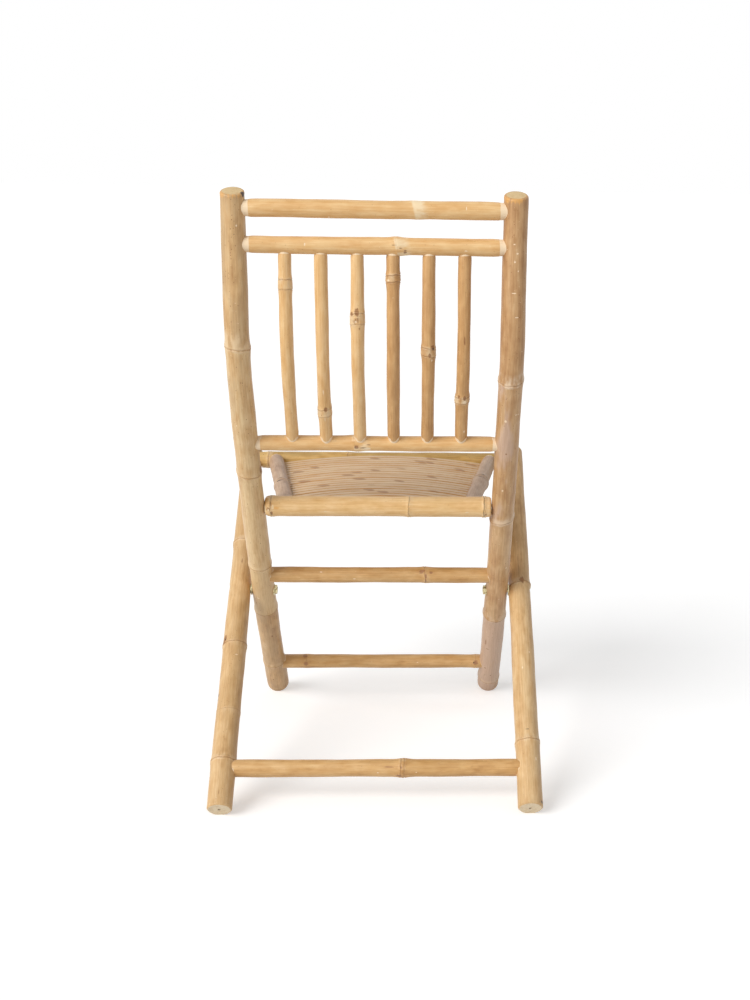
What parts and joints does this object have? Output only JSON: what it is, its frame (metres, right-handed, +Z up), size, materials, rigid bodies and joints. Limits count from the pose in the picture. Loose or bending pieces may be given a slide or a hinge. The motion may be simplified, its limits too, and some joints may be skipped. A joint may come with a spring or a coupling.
{
  "type": "folding chair",
  "caption": "Folding side chair of bamboo poles with crossed legs, a bent spindle back and a slatted seat that tips up to fold.",
  "frame": {"origin": "bottom centre of the standing chair's bounding box, on the floor", "axes": "+Z up, the chair's front faces -Y, the sitter's left is +X"},
  "size_m": [0.4822, 0.5534, 0.8748],
  "materials": {
    "post_bamboo": "satin sanded bamboo, sandy tan",
    "leg_bamboo": "satin sanded bamboo, sandy tan",
    "rail_bamboo": "satin sanded bamboo, golden honey",
    "spindle_bamboo": "satin sanded bamboo, golden",
    "slat_bamboo": "matte split bamboo, pale tan",
    "side_rail_bamboo": "weathered bamboo, greyish taupe",
    "front_rail_bamboo": "satin bamboo, olive gold",
    "batten_bamboo": "split bamboo, sandy tan",
    "zinc_steel": "zinc plated",
    "pin_steel": "plain steel"
  },
  "bodies": {
    "back_frame": {"post_left": "post_bamboo", "post_right": "post_bamboo", "top_rail": "rail_bamboo", "mid_stretcher": "rail_bamboo", "front_stretcher": "rail_bamboo", "upper_back_rail": "rail_bamboo", "lower_back_rail": "rail_bamboo", "spindle_1": "spindle_bamboo", "spindle_2": "spindle_bamboo", "spindle_3": "spindle_bamboo", "spindle_4": "spindle_bamboo", "spindle_5": "spindle_bamboo", "spindle_6": "spindle_bamboo", "bolt_left": "zinc_steel", "washer_left": "zinc_steel", "nut_left": "zinc_steel", "bolt_right": "zinc_steel", "washer_right": "zinc_steel", "nut_right": "zinc_steel"},
    "leg_frame": {"leg_left": "leg_bamboo", "leg_right": "leg_bamboo", "rear_stretcher": "rail_bamboo", "spacer_left": "pin_steel", "spacer_right": "pin_steel"},
    "seat": {"hinge_pin_left": "pin_steel", "slot_pin_left": "pin_steel", "hinge_pin_right": "pin_steel", "slot_pin_right": "pin_steel", "seat_rear_rail": "rail_bamboo", "seat_front_rail": "front_rail_bamboo", "seat_side_rail_left": "side_rail_bamboo", "seat_side_rail_right": "side_rail_bamboo", "slat_01": "slat_bamboo", "slat_02": "slat_bamboo", "slat_03": "slat_bamboo", "slat_04": "slat_bamboo", "slat_05": "slat_bamboo", "slat_06": "slat_bamboo", "slat_07": "slat_bamboo", "slat_08": "slat_bamboo", "slat_09": "slat_bamboo", "slat_10": "slat_bamboo", "slat_11": "slat_bamboo", "slat_12": "slat_bamboo", "slat_13": "slat_bamboo", "slat_14": "slat_bamboo", "slat_15": "slat_bamboo", "slat_16": "slat_bamboo", "slat_17": "slat_bamboo", "slat_18": "slat_bamboo", "slat_19": "slat_bamboo", "seat_batten": "batten_bamboo"}
  },
  "joints": [
    {"name": "seat_tip", "type": "hinge", "parent": "back_frame", "child": "seat", "pos_m": [0, 0.07349, 0.4112], "axis": [-1, 0, 0], "range_deg": [0, 106]},
    {"name": "leg_fold", "type": "hinge", "parent": "back_frame", "child": "leg_frame", "pos_m": [0, -0.03589, 0.2455], "axis": [-1, 0, 0], "range_deg": [0, 83]}
  ],
  "couplings": [
    {"joint": "leg_fold", "follows": "seat_tip", "ratio": 0.78}
  ]
}
